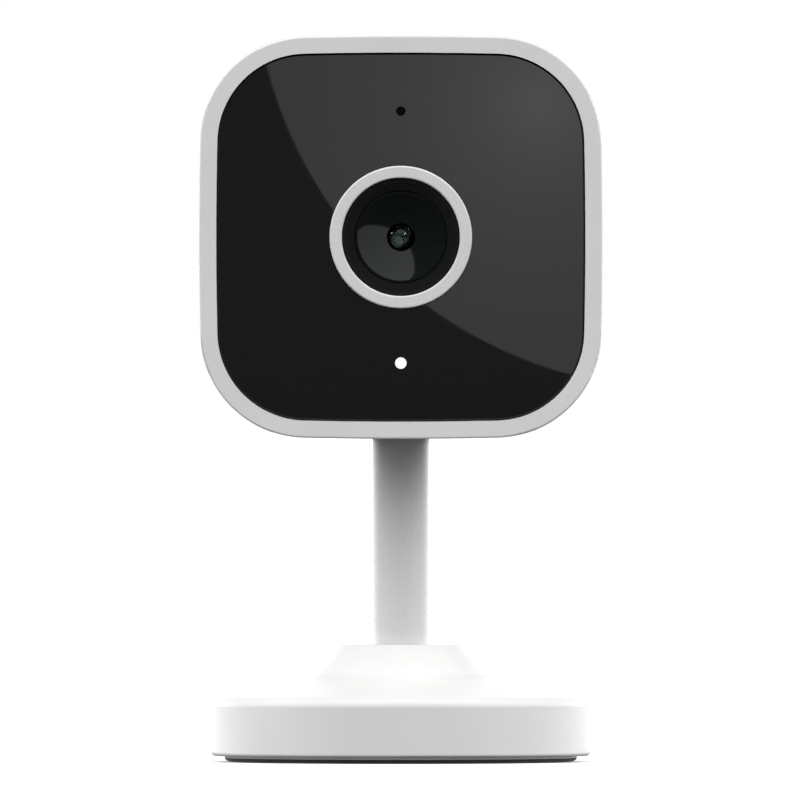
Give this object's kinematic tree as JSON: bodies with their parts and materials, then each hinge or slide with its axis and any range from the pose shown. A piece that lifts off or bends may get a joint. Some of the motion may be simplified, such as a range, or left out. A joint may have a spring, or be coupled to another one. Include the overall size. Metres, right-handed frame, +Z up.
{
  "type": "security camera",
  "caption": "Indoor security camera: rounded square head with a dark window and ringed lens, tilting on a round post that swivels in a weighted round base.",
  "frame": {"origin": "centre of the foot's underside, on the surface that the camera stands on", "axes": "+Z up along the post, the lens looks along -Y, +X to the right as seen from in front"},
  "size_m": [0.0586, 0.0552, 0.1056],
  "materials": {
    "white_abs": "fine spark-eroded texture, moulded ABS",
    "white_post": "white powder coat on the post",
    "black_acrylic": "polished black cast acrylic",
    "black_plastic": "moulded black polycarbonate",
    "black_foam": "adhesive foam",
    "black_rubber": "moulded silicone rubber",
    "optical_glass": "polished and coated optical glass",
    "filter_glass": "infrared cut filter",
    "sensor_ceramic": "image sensor under its cover",
    "lamp_resin": "clear epoxy",
    "lit_polycarbonate": "diffusing polycarbonate, lit from behind",
    "circuit_board": "solder-masked fibreglass",
    "chip_resin": "chip moulding resin",
    "tin_plate": "tin-plated sheet",
    "zinc_steel": "zinc-plated steel",
    "spring_steel": "spring steel",
    "weight_steel": "stamped steel",
    "zinc_casting": "white-painted zinc casting",
    "aluminium_sheet": "stamped aluminium",
    "grey_silicone": "thermal silicone pad",
    "ribbon_film": "polyimide film",
    "acetal": "acetal"
  },
  "bodies": {
    "base": {"base_cover": "white_abs", "base_plate": "black_plastic", "base_weight": "weight_steel", "base_screws": "zinc_steel", "foot_pad": "black_rubber", "swivel_bush": "acetal", "swivel_spring_washer": "spring_steel"},
    "post": {"post_tube": "white_post", "post_knuckle": "zinc_casting", "post_plug": "zinc_casting", "post_screw": "zinc_steel"},
    "head": {"button_switch": "black_plastic", "chassis_screws": "zinc_steel", "friction_washers": "acetal", "front_board": "circuit_board", "front_chassis": "black_plastic", "front_frame": "white_abs", "front_ribbon_cable": "ribbon_film", "front_window": "black_acrylic", "heat_spreader": "aluminium_sheet", "hinge_nut": "zinc_steel", "hinge_screw": "zinc_steel", "image_sensor": "sensor_ceramic", "infrared_filter": "filter_glass", "infrared_lamps": "lamp_resin", "lens_barrel": "black_plastic", "lens_front_element": "optical_glass", "lens_holder": "black_plastic", "lens_hood": "black_plastic", "lens_middle_element": "optical_glass", "lens_rear_element": "optical_glass", "lens_ring": "white_abs", "lens_spacers": "black_plastic", "light_sensor": "lamp_resin", "main_board": "circuit_board", "microphone": "tin_plate", "microphone_boot": "black_rubber", "power_socket": "tin_plate", "processor": "chip_resin", "rear_housing": "white_abs", "rear_ribbon_cable": "ribbon_film", "sensor_board": "circuit_board", "shield_can": "tin_plate", "speaker": "black_plastic", "speaker_gasket": "black_foam", "speaker_grille": "white_abs", "status_lamp": "lamp_resin", "status_light_pipe": "lit_polycarbonate", "thermal_pad": "grey_silicone", "window_gasket": "black_foam", "wireless_antenna": "ribbon_film"},
    "button": {"setup_button": "white_abs"}
  },
  "joints": [
    {"name": "post_swivel", "type": "hinge", "parent": "base", "child": "post", "pos_m": [0, 0, 0.0171], "axis": [0, 0, 1], "continuous": true},
    {"name": "head_tilt", "type": "hinge", "parent": "post", "child": "head", "pos_m": [0, 0, 0.05515], "axis": [-1, 0, 0], "range_deg": [-25, 90]},
    {"name": "button_press", "type": "slide", "parent": "head", "child": "button", "axis": [0, -1, 0], "range_m": [0, 0.0005], "stiffness_N_per_m": 400}
  ]
}
